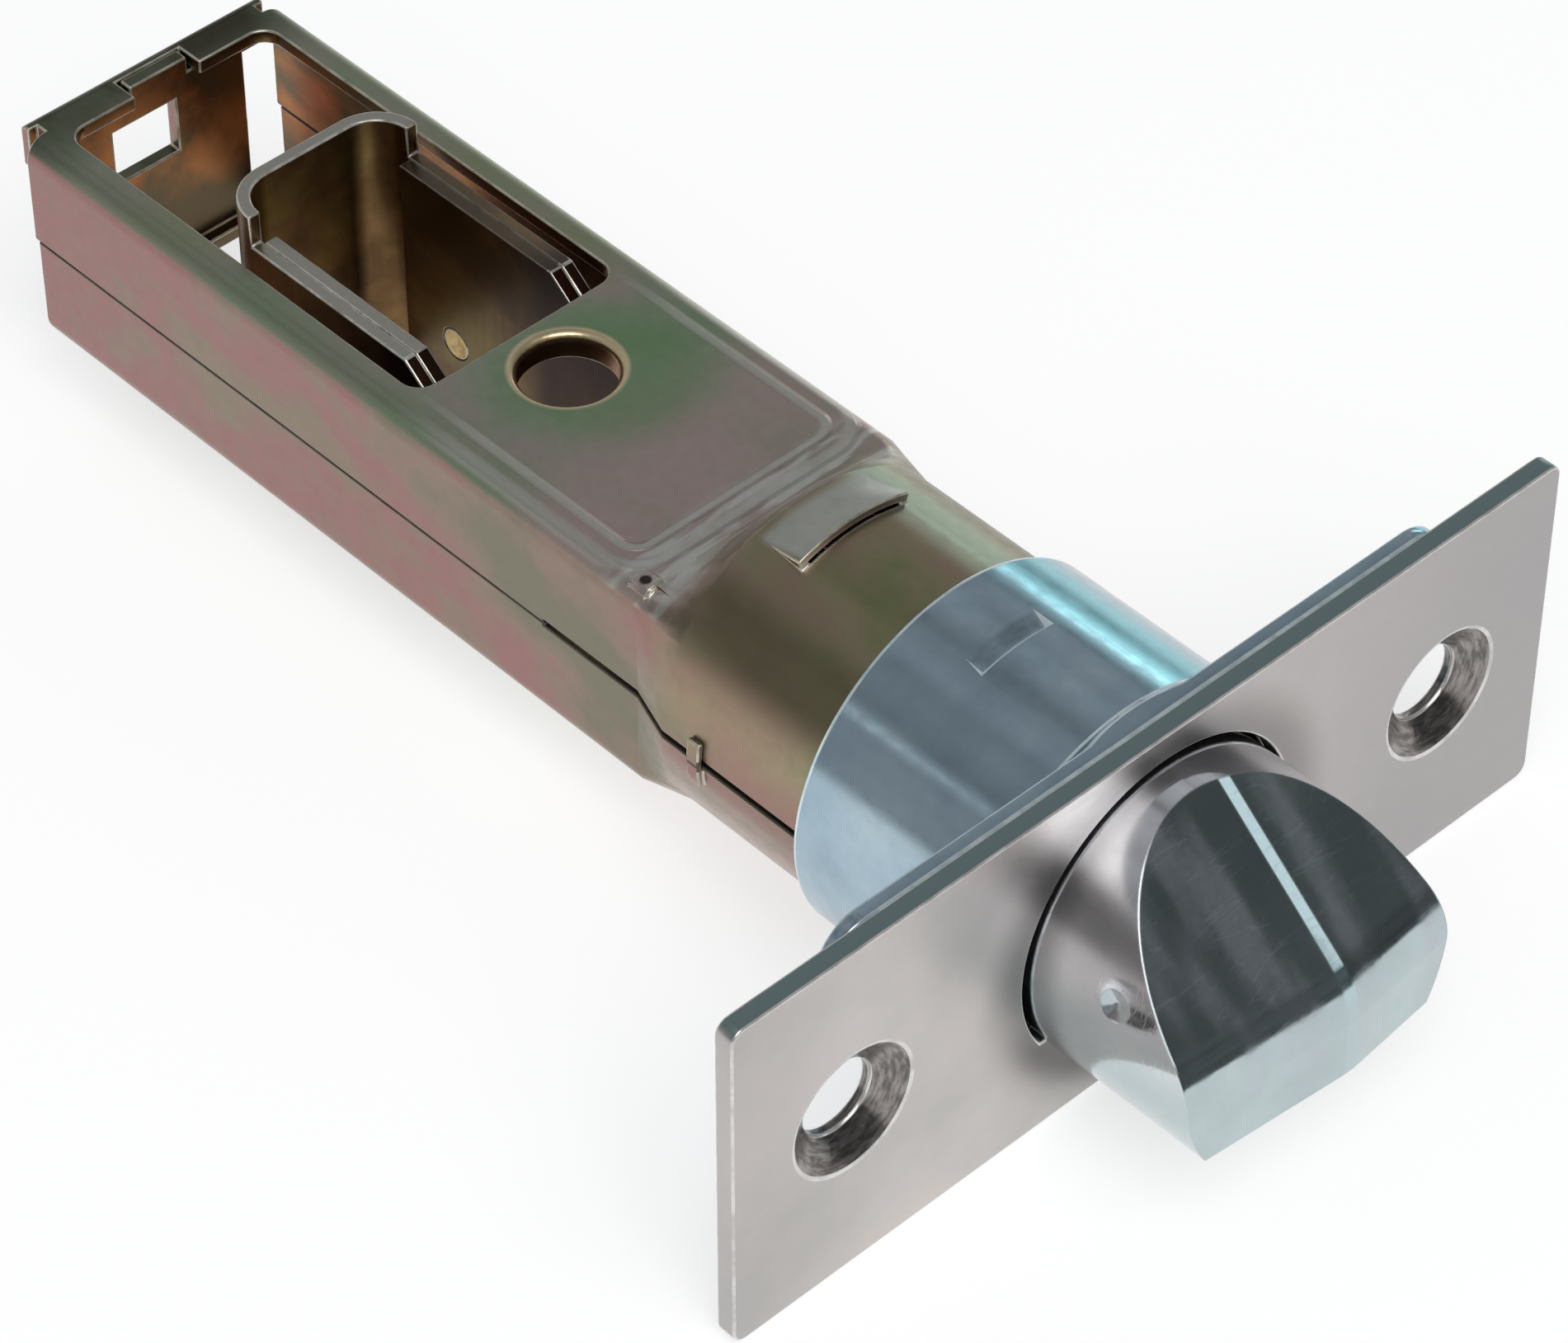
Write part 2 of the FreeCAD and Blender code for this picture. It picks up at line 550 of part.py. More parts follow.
def make_drawbar():
    half_width = YOKE_INNER
    low = DRAWBAR_HALF_HEIGHT
    high = YOKE_LEG_HALF_HEIGHT
    strap = u_strap(-DRAWBAR_REAR, -WEB_FRONT, half_width, DRAWBAR_SHEET, DRAWBAR_BEND_R, high)
    end = -YOKE_FRONT
    upper = [(-WEB_FRONT, low), (end, low), (end, high - YOKE_END_DROP), (end - YOKE_END_RUN, high)]
    upper.append((-DRAWBAR_REAR, high))
    lower = [(x, -z) for x, z in reversed(upper)]
    strap = strap.common(side_plate(upper + lower, half_width + OVERRUN))
    strap = strap.cut(rod(STEM_SPIGOT_R, -WEB_BACK - OVERRUN, -WEB_FRONT + OVERRUN))
    return strap.cut(rivet_hole()).removeSplitter()


def make_retractor_yoke():
    half_height = YOKE_BACK_HALF_HEIGHT
    strap = u_strap(-YOKE_FRONT, -YOKE_BACK, YOKE_HALF_WIDTH, YOKE_SHEET, YOKE_CORNER_R, half_height)
    leg = YOKE_LEG_HALF_HEIGHT
    step = -YOKE_BACK_END
    end = -YOKE_FRONT
    upper = [(end, leg - YOKE_END_DROP), (end - YOKE_END_RUN, leg), (step, leg)]
    upper += [(step, half_height), (-YOKE_BACK, half_height)]
    lower = [(x, -z) for x, z in reversed(upper)]
    strap = strap.common(side_plate(upper + lower, YOKE_HALF_WIDTH + OVERRUN))
    return strap.cut(rivet_hole()).removeSplitter()


def rivet_hole():
    """Hole through both legs of the yoke and the drawbar, low down near the rear end of the drawbar."""
    width = 2.0 * YOKE_HALF_WIDTH
    start = vec(RIVET_INSET - DRAWBAR_REAR, -YOKE_HALF_WIDTH, RIVET_Z)
    return Part.makeCylinder(RIVET_R + RIVET_FIT, width, start, Y_AXIS)


def make_yoke_rivets():
    """One rivet on each leg, flush inside and headed outside."""
    x = RIVET_INSET - DRAWBAR_REAR
    inside = YOKE_INNER - DRAWBAR_SHEET
    shank = Part.makeCylinder(RIVET_R, YOKE_HALF_WIDTH - inside, vec(x, inside, RIVET_Z), Y_AXIS)
    seat = vec(x, YOKE_HALF_WIDTH, RIVET_Z)
    head = Part.makeCylinder(RIVET_HEAD_R, RIVET_HEAD_HEIGHT, seat, Y_AXIS)
    rivet = shank.fuse(head).removeSplitter()
    return Part.makeCompound([rivet, mirrored_across(rivet)])


MAKERS = {
    "faceplate": make_faceplate,
    "front_collar": make_front_collar,
    "upper_case_shell": make_upper_case_shell,
    "lower_case_shell": make_lower_case_shell,
    "spring_stop_plate": make_spring_stop_plate,
    "latch_bolt": make_latch_bolt,
    "bolt_stem": make_bolt_stem,
    "bolt_spring": make_bolt_spring,
    "drawbar": make_drawbar,
    "retractor_yoke": make_retractor_yoke,
    "yoke_rivets": make_yoke_rivets,
}

os.makedirs("parts", exist_ok=True)
for name, maker in MAKERS.items():
    shape = maker()
    shape.exportStep(os.path.join("parts", name + ".step"))
    box_size = shape.BoundBox
    print(name, len(shape.Solids), "solids, valid", shape.isValid(), "volume %.1f" % shape.Volume,
          "x %.2f..%.2f" % (box_size.XMin, box_size.XMax), "z %.2f..%.2f" % (box_size.ZMin, box_size.ZMax))
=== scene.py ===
import json
import math

import bpy
from mathutils import Matrix, Vector

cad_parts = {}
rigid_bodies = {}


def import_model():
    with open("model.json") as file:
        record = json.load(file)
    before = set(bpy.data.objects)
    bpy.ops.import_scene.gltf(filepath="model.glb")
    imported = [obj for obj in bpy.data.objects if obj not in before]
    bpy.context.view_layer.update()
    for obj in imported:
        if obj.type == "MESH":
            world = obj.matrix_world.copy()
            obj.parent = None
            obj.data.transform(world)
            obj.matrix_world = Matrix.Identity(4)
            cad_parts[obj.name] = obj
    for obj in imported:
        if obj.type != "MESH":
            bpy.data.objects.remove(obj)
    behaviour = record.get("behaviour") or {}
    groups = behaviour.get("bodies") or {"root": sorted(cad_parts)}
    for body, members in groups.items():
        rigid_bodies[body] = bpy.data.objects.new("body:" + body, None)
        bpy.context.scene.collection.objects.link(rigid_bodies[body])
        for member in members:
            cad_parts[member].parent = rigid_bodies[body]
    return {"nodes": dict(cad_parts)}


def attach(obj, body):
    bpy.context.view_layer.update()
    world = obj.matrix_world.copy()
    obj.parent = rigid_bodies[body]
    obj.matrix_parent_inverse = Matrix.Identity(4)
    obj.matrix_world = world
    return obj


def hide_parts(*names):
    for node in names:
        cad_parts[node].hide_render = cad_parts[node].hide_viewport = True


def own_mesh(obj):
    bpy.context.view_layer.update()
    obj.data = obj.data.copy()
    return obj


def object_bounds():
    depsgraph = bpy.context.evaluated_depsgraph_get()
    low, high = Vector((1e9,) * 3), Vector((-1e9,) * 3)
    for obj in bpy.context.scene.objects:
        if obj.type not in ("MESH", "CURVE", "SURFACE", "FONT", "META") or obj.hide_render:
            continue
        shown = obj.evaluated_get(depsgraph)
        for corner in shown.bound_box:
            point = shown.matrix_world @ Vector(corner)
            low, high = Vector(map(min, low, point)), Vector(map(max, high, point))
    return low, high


for old in list(bpy.data.objects):
    bpy.data.objects.remove(old, do_unlink=True)

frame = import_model()
CAD_BOX = [list(corner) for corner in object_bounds()]
NODES = frame["nodes"]
MM = 0.001

# Places on the part, in millimetres
BOLT_AXIS = (0.0, 0.0)
BOLT_RIDGE_Y = 1.6
SCREW_Y = 20.65
COUNTERSINK_RADIUS = 4.2
POST_HOLE = (-42.0, 0.0)
POST_HOLE_REACH = (3.1, 3.4)
STUD = (-27.2, -8.0)
FLAT_MIDDLE_X = -45.0
FLAT_HALF_LENGTH = 17.2
FLAT_HALF_WIDTH = 8.3
FLAT_CORNER = 2.5
BEAD_SPACING = 1.3
TUBE_START = (-27.5, -22.5)
RAMP_FOOT = ((-30.0, -28.2), (-26.2, -24.4))
LOUVRE_REAR = (-23.8, -23.0)
LOUVRE_FRONT = -20.2
LOUVRE_SIDES = (3.3, 3.8)
REAR_RIM = (-76.5, -71.0)
REAR_WALL = -70.0
YOKE_ARCH = (-61.2, -60.2)
YOKE_LEG_FRONT = -48.5


class Surface:
    """A metal with one glossy shader, and short ways to add nodes to it.

    x, y and z are the place in millimetres. The facing values are the parts of the normal.
    """

    def __init__(self, name, colour, roughness):
        self.material = bpy.data.materials.new(name)
        self.material.use_nodes = True
        self.nodes = self.material.node_tree.nodes
        self.links = self.material.node_tree.links
        self.shader = self.nodes["Principled BSDF"]
        self.shader.inputs["Metallic"].default_value = 1.0
        self.colour(colour)
        self.roughness(roughness)
        self.place = self.nodes.new("ShaderNodeTexCoord").outputs["Object"]
        scale = self.nodes.new("ShaderNodeVectorMath")
        scale.operation = "SCALE"
        scale.inputs["Scale"].default_value = 1.0 / MM
        self.links.new(self.place, scale.inputs[0])
        self.x, self.y, self.z = self.split(scale.outputs["Vector"])
        normal = self.nodes.new("ShaderNodeNewGeometry").outputs["Normal"]
        self.facing_x, self.facing_y, self.facing_z = self.split(normal)

    def put(self, socket, value):
        """Links a socket to another one, or sets its value."""
        if isinstance(value, bpy.types.NodeSocket):
            self.links.new(value, socket)
        elif socket.type == "RGBA":
            socket.default_value = (*value, 1.0)
        else:
            socket.default_value = value

    def colour(self, value):
        self.put(self.shader.inputs["Base Color"], value)

    def roughness(self, value):
        self.put(self.shader.inputs["Roughness"], value)

    def split(self, vector):
        node = self.nodes.new("ShaderNodeSeparateXYZ")
        self.links.new(vector, node.inputs[0])
        return tuple(node.outputs)

    def noise(self, size_mm, detail=3.0, rough=0.55, stretch=(1.0, 1.0, 1.0), shift=0.0):
        """Cloudy value from 0 to 1, with features of about that size."""
        mapping = self.nodes.new("ShaderNodeMapping")
        mapping.inputs["Scale"].default_value = [1.0 / (size_mm * MM * part) for part in stretch]
        mapping.inputs["Location"].default_value = (shift, shift * 0.7, shift * 1.3)
        self.links.new(self.place, mapping.inputs["Vector"])
        texture = self.nodes.new("ShaderNodeTexNoise")
        texture.inputs["Scale"].default_value = 1.0
        texture.inputs["Detail"].default_value = detail
        texture.inputs["Roughness"].default_value = rough
        self.links.new(mapping.outputs["Vector"], texture.inputs["Vector"])
        return texture.outputs["Fac"]

    def math(self, operation, *values):
        node = self.nodes.new("ShaderNodeMath")
        node.operation = operation
        for socket, value in zip(node.inputs, values):
            self.put(socket, value)
        return node.outputs[0]

    def times(self, product, *factors):
        for factor in factors:
            product = self.math("MULTIPLY", product, factor)
        return product

    def total(self, *shares):
        """Sum of values, each times its share."""
        result = 0.0
        for value, share in shares:
            result = self.math("MULTIPLY_ADD", value, share, result)
        return result

    def below(self, value, limit):
        return self.math("LESS_THAN", value, limit)

    def away(self, value, centre=0.0):
        """How far a value is from a centre, either way."""
        return self.math("ABSOLUTE", self.math("SUBTRACT", value, centre))

    def reach(self, a, b):
        """Length of a line that goes a one way and b square to it."""
        return self.math("SQRT", self.total((a, a), (b, b)))

    def step(self, value, low, high):
        """0 below low, 1 above high, smooth between them."""
        node = self.nodes.new("ShaderNodeMapRange")
        node.interpolation_type = "SMOOTHSTEP"
        self.put(node.inputs["Value"], value)
        node.inputs["From Min"].default_value = low
        node.inputs["From Max"].default_value = high
        return node.outputs["Result"]

    def fall(self, value, low, high):
        """1 below low, 0 above high, smooth between them."""
        return self.math("SUBTRACT", 1.0, self.step(value, low, high))

    def band(self, value, rise, drop):
        """Rises to 1 over the first range and falls to 0 over the second."""
        return self.times(self.step(value, *rise), self.fall(value, *drop))

    def disc(self, a, b, centre, inner, outer):
        """1 within the inner radius around a point, 0 past the outer one."""
        from_a = self.math("SUBTRACT", a, centre[0])
        from_b = self.math("SUBTRACT", b, centre[1])
        return self.fall(self.reach(from_a, from_b), inner, outer)

    def scaled(self, value, low, high):
        """A value from 0 to 1 stretched to low and high."""
        node = self.nodes.new("ShaderNodeMapRange")
        self.put(node.inputs["Value"], value)
        node.inputs["To Min"].default_value = low
        node.inputs["To Max"].default_value = high
        return node.outputs["Result"]

    def mix(self, factor, a, b):
        node = self.nodes.new("ShaderNodeMix")
        node.data_type = "RGBA"
        self.put(node.inputs[0], factor)
        self.put(node.inputs[6], a)
        self.put(node.inputs[7], b)
        return node.outputs[2]

    def layers(self, colour, *coats):
        """Lays coats, each an amount and a colour, over a colour in turn."""
        for amount, coat in coats:
            colour = self.mix(amount, colour, coat)
        return colour

    def ramp(self, value, stops):
        node = self.nodes.new("ShaderNodeValToRGB")
        elements = node.color_ramp.elements
        while len(elements) < len(stops):
            elements.new(0.5)
        for element, (place, colour) in zip(elements, stops):
            element.position = place
            element.color = (*colour, 1.0)
        self.put(node.inputs["Fac"], value)
        return node.outputs["Color"]

    def bump(self, height, depth_mm, strength, rounded_mm=0.0):
        node = self.nodes.new("ShaderNodeBump")
        node.inputs["Strength"].default_value = strength
        node.inputs["Distance"].default_value = depth_mm * MM
        self.links.new(height, node.inputs["Height"])
        if rounded_mm:
            edge = self.nodes.new("ShaderNodeBevel")
            edge.inputs["Radius"].default_value = rounded_mm * MM
            self.links.new(edge.outputs["Normal"], node.inputs["Normal"])
        self.links.new(node.outputs["Normal"], self.shader.inputs["Normal"])

    def scratches(self, size_mm, stretch, shift):
        """Thin lines where a stretched noise crosses its middle."""
        value = self.noise(size_mm, detail=2.0, stretch=stretch, shift=shift)
        return self.fall(self.away(value, 0.5), 0.0, 0.012)


def satin_nickel():
    """Brushed faceplate, darker at its ends, with painted shade around the bolt, a painted shadow below it
    and painted shade in the countersinks.
    """
    metal = Surface("satin_nickel", (0.60, 0.56, 0.54), 0.34)
    cloud = metal.noise(14.0, detail=4.0)
    grain = metal.noise(0.16, detail=2.0, stretch=(1.0, 9.0, 1.0), shift=3.0)
    fine = metal.noise(0.12, detail=1.0, shift=7.0)
    turned = metal.noise(0.25, detail=2.0, stretch=(0.6, 4.0, 4.0), shift=5.0)
    nickel = metal.ramp(cloud, [
        (0.36, (0.50, 0.485, 0.47)),
        (0.50, (0.58, 0.545, 0.525)),
        (0.64, (0.64, 0.59, 0.565)),
    ])
    # Banded painted shade for the countersinks
    countersink_shade = metal.ramp(turned, [(0.38, (0.12, 0.108, 0.10)), (0.62, (0.31, 0.285, 0.27))])
    far_end = metal.step(metal.y, -12.0, 26.0)
    near_end = metal.fall(metal.y, -27.0, -19.0)
    # Painted shade on the plate around the bolt, and a darker painted shadow below it
    bolt_shade = metal.disc(metal.y, metal.z, BOLT_AXIS, 9.6, 12.8)
    bolt_shadow = metal.times(metal.disc(metal.y, metal.z, BOLT_AXIS, 9.6, 11.6), metal.fall(metal.z, -6.0, -1.5))
    upper_edge = metal.step(metal.facing_z, 0.5, 0.9)
    from_screw = metal.reach(metal.away(metal.away(metal.y), SCREW_Y), metal.z)
    sloped = metal.below(metal.away(metal.facing_x), 0.9)
    sunk = metal.times(metal.below(from_screw, COUNTERSINK_RADIUS), sloped)
    metal.colour(metal.layers(
        nickel,
        (metal.times(far_end, 0.85), (0.38, 0.365, 0.37)),
        (metal.times(near_end, 0.35), (0.38, 0.365, 0.36)),
        (metal.times(bolt_shade, metal.scaled(cloud, 0.25, 1.05)), (0.20, 0.19, 0.185)),
        (metal.times(bolt_shadow, 0.75), (0.11, 0.105, 0.10)),
        (upper_edge, (0.26, 0.35, 0.35)),
        (sunk, countersink_shade),
        (metal.scaled(fine, 0.0, 0.16), (0.34, 0.325, 0.31)),
    ))
    satin = metal.scaled(metal.total((grain, 1.0), (cloud, 0.6)), 0.26, 0.40)
    metal.roughness(metal.total((satin, 1.0), (sunk, -0.12)))
    metal.bump(grain, 0.004, 0.35)
    return metal.material


def blue_zinc():
    """Bluish collar with a painted turquoise highlight along its upper far side and painted shade on its
    far side.
    """
    metal = Surface("blue_zinc", (0.58, 0.67, 0.71), 0.22)
    cloud = metal.noise(6.0, detail=4.0, rough=0.6)
    spots = metal.noise(0.9, shift=5.0)
    drawn = metal.noise(0.25, detail=2.0, stretch=(14.0, 1.0, 1.0), shift=9.0)
    zinc = metal.ramp(cloud, [
        (0.28, (0.30, 0.40, 0.48)),
        (0.50, (0.39, 0.51, 0.59)),
        (0.74, (0.48, 0.60, 0.66)),
    ])
    # Painted turquoise highlight on the upper far side, and painted shade on the far side
    upward = metal.step(metal.facing_z, 0.0, 0.4)
    turquoise = metal.times(metal.band(metal.facing_y, (0.12, 0.34), (0.50, 0.80)), upward)
    far_side_shade = metal.step(metal.facing_y, 0.45, 0.70)
    metal.colour(metal.layers(
        zinc,
        (metal.times(turquoise, 0.8), (0.22, 0.60, 0.66)),
        (metal.times(far_side_shade, 0.7), (0.27, 0.34, 0.37)),
        (metal.scaled(spots, 0.0, 0.22), (0.26, 0.33, 0.40)),
    ))
    metal.roughness(metal.scaled(metal.total((drawn, 0.5), (spots, 1.0)), 0.08, 0.24))
    metal.bump(drawn, 0.003, 0.3)
    return metal.material


def case_top(metal, cloud, patch):
    """Green and rose top of the case, green around the post hole and mottled at the rear."""
    top = metal.ramp(metal.total((cloud, 0.6), (patch, 0.4)), [
        (0.40, (0.23, 0.36, 0.20)),
        (0.47, (0.37, 0.41, 0.31)),
        (0.53, (0.48, 0.38, 0.36)),
        (0.60, (0.40, 0.38, 0.25)),
    ])
    mottled = metal.ramp(patch, [
        (0.42, (0.05, 0.042, 0.024)),
        (0.50, (0.10, 0.125, 0.075)),
        (0.58, (0.15, 0.165, 0.12)),
    ])
    rails = metal.step(metal.away(metal.y), 5.5, 8.5)
    rose = metal.step(metal.x, -40.0, -33.0)
    halo = metal.disc(metal.x, metal.y, (-40.5, 1.5), 3.5, 7.2)
    rear = metal.fall(metal.x, *REAR_RIM)
    return metal.layers(
        top,
        (metal.times(rails, 0.55), (0.25, 0.36, 0.21)),
        (metal.times(rose, metal.scaled(patch, 0.45, 1.15)), (0.55, 0.415, 0.395)),
        (metal.times(halo, metal.scaled(cloud, 0.2, 1.1)), (0.20, 0.38, 0.17)),
        (metal.times(rear, 0.95), mottled),
    )


def case_side(metal, cloud, patch):
    """Brown and rose sides of the case."""
    return metal.ramp(metal.total((cloud, 0.5), (patch, 0.5)), [
        (0.40, (0.205, 0.19, 0.135)),
        (0.47, (0.285, 0.205, 0.165)),
        (0.53, (0.335, 0.165, 0.16)),
        (0.60, (0.27, 0.215, 0.16)),
    ])


def tube_coats(metal, patch, fine):
    """Olive tube with a painted green highlight, a scuffed ramp foot whose pale streaks are partly painted
    highlight, painted dark reflections along its sides and a painted highlight on the louvre.
    """
    tube = metal.step(metal.x, *TUBE_START)
    olive = metal.ramp(patch, [
        (0.38, (0.25, 0.28, 0.13)),
        (0.50, (0.35, 0.30, 0.19)),
        (0.62, (0.37, 0.26, 0.19)),
    ])
    crown = metal.times(tube, metal.step(metal.facing_z, -0.1, 0.35))
    # Painted green highlight on the tube's upper far side
    gleam = metal.times(metal.band(metal.facing_y, (0.14, 0.32), (0.42, 0.64)), crown)
    underside = metal.times(tube, metal.fall(metal.facing_z, -0.45, -0.05))
    upward = metal.step(metal.facing_z, 0.3, 0.6)
    # Pale streaks along the ramp foot: scuffs, partly a painted highlight
    rub_and_highlight_streaks = metal.step(metal.noise(0.9, stretch=(1.0, 5.0, 2.0), shift=31.0), 0.42, 0.58)
    scuffs_and_highlight = metal.times(metal.band(metal.x, *RAMP_FOOT), rub_and_highlight_streaks, upward)
    # Painted dark reflection in a band along the tube's sides
    shoulder = metal.times(metal.band(metal.away(metal.facing_y), (0.50, 0.66), (0.78, 0.90)), tube)
    # Painted silvery highlight on the louvre
    louvre_length = metal.times(metal.step(metal.x, *LOUVRE_REAR), metal.below(metal.x, LOUVRE_FRONT))
    louvre = metal.times(louvre_length, metal.fall(metal.away(metal.y), *LOUVRE_SIDES), upward)
    return [
        (crown, olive),
        (metal.times(gleam, 0.75), (0.44, 0.60, 0.46)),
        (metal.times(underside, 0.8), (0.50, 0.385, 0.345)),
        (metal.times(scuffs_and_highlight, 0.9), (0.72, 0.72, 0.66)),
        (metal.times(shoulder, metal.scaled(patch, 0.2, 1.1)), (0.13, 0.12, 0.06)),
        (metal.times(louvre, metal.scaled(fine, 0.45, 1.0)), (0.68, 0.71, 0.67)),
    ]


def inside_coat(metal, patch):
    """Rust on the faces that look into the case, with painted shade towards the bottom and a painted
    orange highlight in one spot.
    """
    inward_y = metal.below(metal.times(metal.y, metal.facing_y), -1.0)
    inward_z = metal.below(metal.times(metal.z, metal.facing_z), -1.0)
    forward = metal.math("GREATER_THAN", metal.facing_x, 0.5)
    rear_wall = metal.times(forward, metal.below(metal.x, REAR_WALL))
    inside = metal.math("MAXIMUM", metal.math("MAXIMUM", inward_y, inward_z), rear_wall)
    rust = metal.ramp(patch, [
        (0.42, (0.16, 0.11, 0.05)),
        (0.50, (0.34, 0.145, 0.055)),
        (0.58, (0.52, 0.20, 0.06)),
    ])
    # Painted orange highlight on the rust in one spot
    spot = metal.disc(metal.y, metal.z, (4.7, -0.1), 0.6, 3.6)
    rust = metal.layers(
        rust,
        # Painted shade towards the bottom
        (metal.fall(metal.z, -4.0, 1.0), (0.12, 0.085, 0.045)),
        (metal.times(spot, metal.scaled(patch, 0.5, 1.0)), (0.90, 0.34, 0.11)),
    )
    return inside, rust


def post_hole_coat(metal):
    """Gold lip of the post hole, partly a painted highlight, over a brown wall below it that is darkened
    as painted shade.
    """
    # Gold is partly painted highlight; brown is painted shade deeper in the hole
    brown, gold = (0.36, 0.17, 0.08), (0.86, 0.71, 0.44)
    lip = metal.disc(metal.x, metal.y, POST_HOLE, *POST_HOLE_REACH)
    return lip, metal.mix(metal.step(metal.away(metal.z), 6.1, 6.7), brown, gold)


def flat_beads(metal):
    """Two fine raised lines along the rounded border of the case's flat, painted lighter as a highlight.
    """
    over_x = metal.math("SUBTRACT", metal.away(metal.x, FLAT_MIDDLE_X), FLAT_HALF_LENGTH - FLAT_CORNER)
    over_y = metal.math("SUBTRACT", metal.away(metal.y), FLAT_HALF_WIDTH - FLAT_CORNER)
    outside = metal.reach(metal.math("MAXIMUM", over_x, 0.0), metal.math("MAXIMUM", over_y, 0.0))
    within = metal.math("MINIMUM", metal.math("MAXIMUM", over_x, over_y), 0.0)
    border = metal.math("SUBTRACT", metal.math("ADD", outside, within), FLAT_CORNER)
    outer = metal.step(metal.away(border), 0.18, 0.56)
    inner = metal.step(metal.away(border, -BEAD_SPACING), 0.12, 0.42)
    lines = metal.math("SUBTRACT", 1.0, metal.math("MINIMUM", outer, inner))
    flat = metal.step(metal.away(metal.facing_z), 0.55, 0.8)
    return metal.times(lines, flat, metal.step(metal.x, -47.0, -40.0))


def yellow_zinc():
    """Iridescent zinc of the two case shells."""
    metal = Surface("yellow_zinc", (0.52, 0.47, 0.36), 0.30)
    cloud = metal.noise(16.0, stretch=(1.6, 1.0, 1.0))
    patch = metal.noise(7.0, detail=4.0, rough=0.6, stretch=(1.8, 1.0, 1.0), shift=4.0)
    fine = metal.noise(0.7, shift=8.0)
    grain = metal.noise(0.10, detail=2.0, stretch=(12.0, 1.0, 1.0), shift=2.0)
    sideways = metal.away(metal.facing_y)
    beads = flat_beads(metal)
    stud_dot = metal.disc(metal.x, metal.y, STUD, 0.25, 0.40)
    # Painted shade along the shells' seam
    seam = metal.times(metal.fall(metal.away(metal.z), 0.06, 0.12), metal.step(sideways, 0.8, 0.9))
    seam_strength = metal.scaled(metal.step(metal.x, -70.0, -40.0), 0.45, 0.95)
    metal.colour(metal.layers(
        case_top(metal, cloud, patch),
        (metal.step(sideways, 0.80, 0.97), case_side(metal, cloud, patch)),
        *tube_coats(metal, patch, fine),
        inside_coat(metal, patch),
        post_hole_coat(metal),
        # Bead lines painted lighter as a highlight
        (metal.times(beads, 0.70), (0.66, 0.66, 0.59)),
        (stud_dot, (0.04, 0.035, 0.03)),
        (metal.times(seam, seam_strength), (0.05, 0.035, 0.03)),
        (metal.scaled(fine, 0.0, 0.20), (0.20, 0.18, 0.14)),
    ))
    metal.roughness(metal.scaled(metal.total((grain, 0.4), (fine, 1.0)), 0.22, 0.40))
    metal.bump(metal.total((grain, 0.01), (beads, 1.0)), 0.16, 0.6)
    return metal.material


def yoke_far_leg(metal):
    """1 on the yoke's far leg, 0 on its near leg and arch."""
    return metal.times(metal.step(metal.y, 0.0, 3.0), metal.step(metal.x, *YOKE_ARCH))


def yoke_zinc(name, light):
    """Brown passivated strip, with bright cut edges above and below that are dimmed on the far leg as
    painted shade, and painted shade under the case's flat.
    """
    metal = Surface(name, (0.44, 0.38, 0.29), 0.32)
    cloud = metal.noise(6.0, detail=4.0, stretch=(1.5, 1.0, 1.0))
    drag = metal.noise(0.5, stretch=(1.0, 1.0, 16.0), shift=6.0)
    browns = [(0.40, (0.15, 0.085, 0.036)), (0.50, (0.25, 0.145, 0.060)), (0.62, (0.34, 0.24, 0.08))]
    # Painted shade under the case's flat
    shade_under_flat = metal.step(metal.x, -51.0, -48.5)
    cut = metal.step(metal.away(metal.facing_z), 0.8, 0.95)
    metal.colour(metal.layers(
        # A light below 1 dims the browns as painted shade
        metal.ramp(cloud, [(at, [light * part for part in brown]) for at, brown in browns]),
        (metal.scaled(drag, 0.0, 0.35), (0.08, 0.06, 0.04)),
        (metal.times(shade_under_flat, 0.9), (0.028, 0.010, 0.008)),
        # Cut edges dimmed on the far leg as painted shade
        (metal.times(cut, metal.scaled(yoke_far_leg(metal), 1.0, 0.15)), (0.46, 0.44, 0.38)),
    ))
    metal.roughness(metal.scaled(drag, 0.22, 0.42))
    metal.bump(drag, 0.004, 0.3)
    return metal.material


def chrome_bolt():
    """Polished bolt with faint streaks, a lighter flank and a painted teal highlight on its ridge."""
    metal = Surface("chrome_bolt", (0.50, 0.56, 0.58), 0.09)
    cloud = metal.noise(5.0)
    pits = metal.noise(0.35, shift=4.0)
    lines = metal.scratches(2.2, (0.4, 6.0, 1.0), 11.0)
    streaks = metal.step(metal.noise(3.2, detail=2.0, stretch=(3.5, 1.0, 3.5), shift=21.0), 0.44, 0.72)
    chrome = metal.ramp(cloud, [(0.30, (0.42, 0.505, 0.515)), (0.70, (0.51, 0.60, 0.61))])
    not_bevelled = metal.fall(metal.away(metal.facing_x), 0.1, 0.3)
    flank = metal.times(metal.step(metal.facing_z, -0.2, 0.5), not_bevelled)
    # Painted teal highlight along the ridge
    ridge = metal.fall(metal.away(metal.y, BOLT_RIDGE_Y), 0.3, 0.5)
    bevel_only = metal.step(metal.facing_x, 0.3, 0.5)
    less_on_nose = metal.scaled(metal.step(metal.facing_z, 0.25, 0.50), 0.25, 1.0)
    metal.colour(metal.layers(
        chrome,
        (metal.times(streaks, 0.5), (0.49, 0.52, 0.56)),
        (metal.times(flank, 0.9), (0.84, 0.84, 0.88)),
        (metal.times(ridge, less_on_nose, bevel_only), (0.48, 0.63, 0.66)),
        (metal.scaled(pits, 0.0, 0.14), (0.30, 0.33, 0.36)),
    ))
    polish = metal.scaled(metal.total((pits, 1.0), (lines, 0.5)), 0.05, 0.12)
    metal.roughness(metal.total((polish, 1.0), (streaks, 0.13)))
    metal.bump(metal.total((cloud, 0.6), (lines, 1.0)), 0.003, 0.2, rounded_mm=0.16)
    return metal.material


